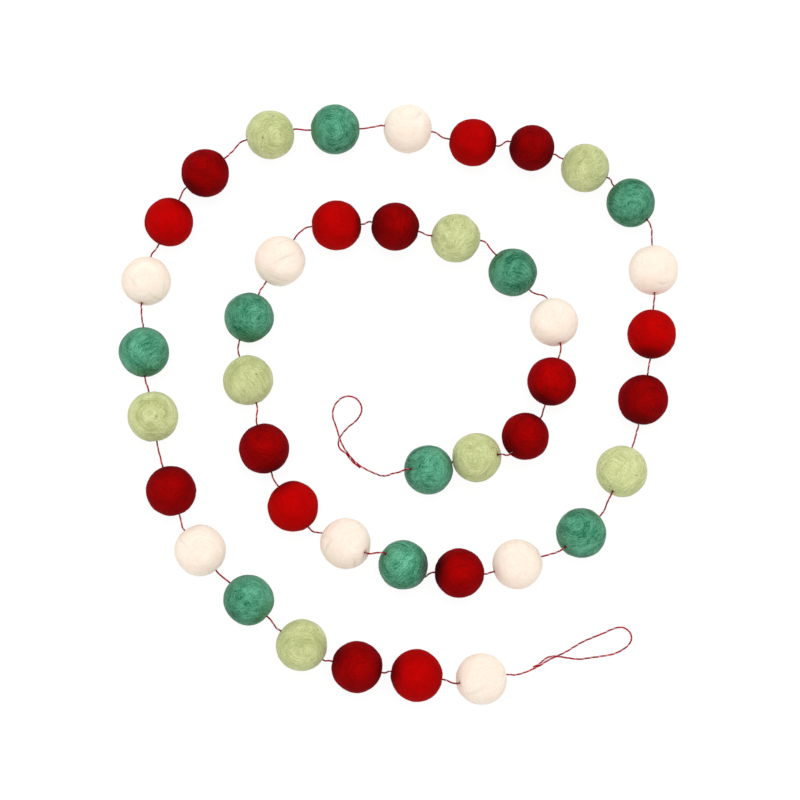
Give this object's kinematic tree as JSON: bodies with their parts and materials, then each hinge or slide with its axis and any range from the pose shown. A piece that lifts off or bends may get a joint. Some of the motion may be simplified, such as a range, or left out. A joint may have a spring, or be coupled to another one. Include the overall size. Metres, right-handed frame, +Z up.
{
  "type": "felt ball garland",
  "caption": "Garland of round wool felt balls in cream, red, dark red, light green and teal, threaded on red and white twine with a hanging loop at each end, lying in a spiral.",
  "frame": {"origin": "on the surface that the garland lies on, under the middle of the outline of its balls", "axes": "+Z up from that surface; the spiral lies in the XY plane, with its outer end at the -Y side, running towards -X and then clockwise inwards as seen from above"},
  "size_m": [0.3395, 0.3655, 0.0304],
  "materials": {
    "cream_felt": "wet-felted wool, matt, finely fuzzy",
    "red_felt": "wet-felted wool, matt, finely fuzzy",
    "cranberry_felt": "wet-felted wool, matt, finely fuzzy",
    "sage_felt": "wet-felted wool, matt, finely fuzzy, with a few dark flecks",
    "teal_felt": "wet-felted wool, matt, finely fuzzy",
    "bakers_twine": "two-ply cotton twine, one red and one white strand, matt"
  },
  "bodies": {
    "root": {"ball_01_cream": "cream_felt", "ball_02_red": "red_felt", "ball_03_cranberry": "cranberry_felt", "ball_04_sage": "sage_felt", "ball_05_teal": "teal_felt", "ball_06_cream": "cream_felt", "ball_07_cranberry": "cranberry_felt", "ball_08_sage": "sage_felt", "ball_09_teal": "teal_felt", "ball_10_cream": "cream_felt", "ball_11_red": "red_felt", "ball_12_cranberry": "cranberry_felt", "ball_13_sage": "sage_felt", "ball_14_teal": "teal_felt", "ball_15_cream": "cream_felt", "ball_16_red": "red_felt", "ball_17_cranberry": "cranberry_felt", "ball_18_sage": "sage_felt", "ball_19_teal": "teal_felt", "ball_20_cream": "cream_felt", "ball_21_red": "red_felt", "ball_22_cranberry": "cranberry_felt", "ball_23_sage": "sage_felt", "ball_24_teal": "teal_felt", "ball_25_cream": "cream_felt", "ball_26_cranberry": "cranberry_felt", "ball_27_teal": "teal_felt", "ball_28_cream": "cream_felt", "ball_29_red": "red_felt", "ball_30_cranberry": "cranberry_felt", "ball_31_sage": "sage_felt", "ball_32_teal": "teal_felt", "ball_33_cream": "cream_felt", "ball_34_red": "red_felt", "ball_35_cranberry": "cranberry_felt", "ball_36_sage": "sage_felt", "ball_37_teal": "teal_felt", "ball_38_cream": "cream_felt", "ball_39_cranberry": "cranberry_felt", "ball_40_cranberry": "cranberry_felt", "ball_41_sage": "sage_felt", "ball_42_teal": "teal_felt", "twine": "bakers_twine"}
  },
  "joints": []
}
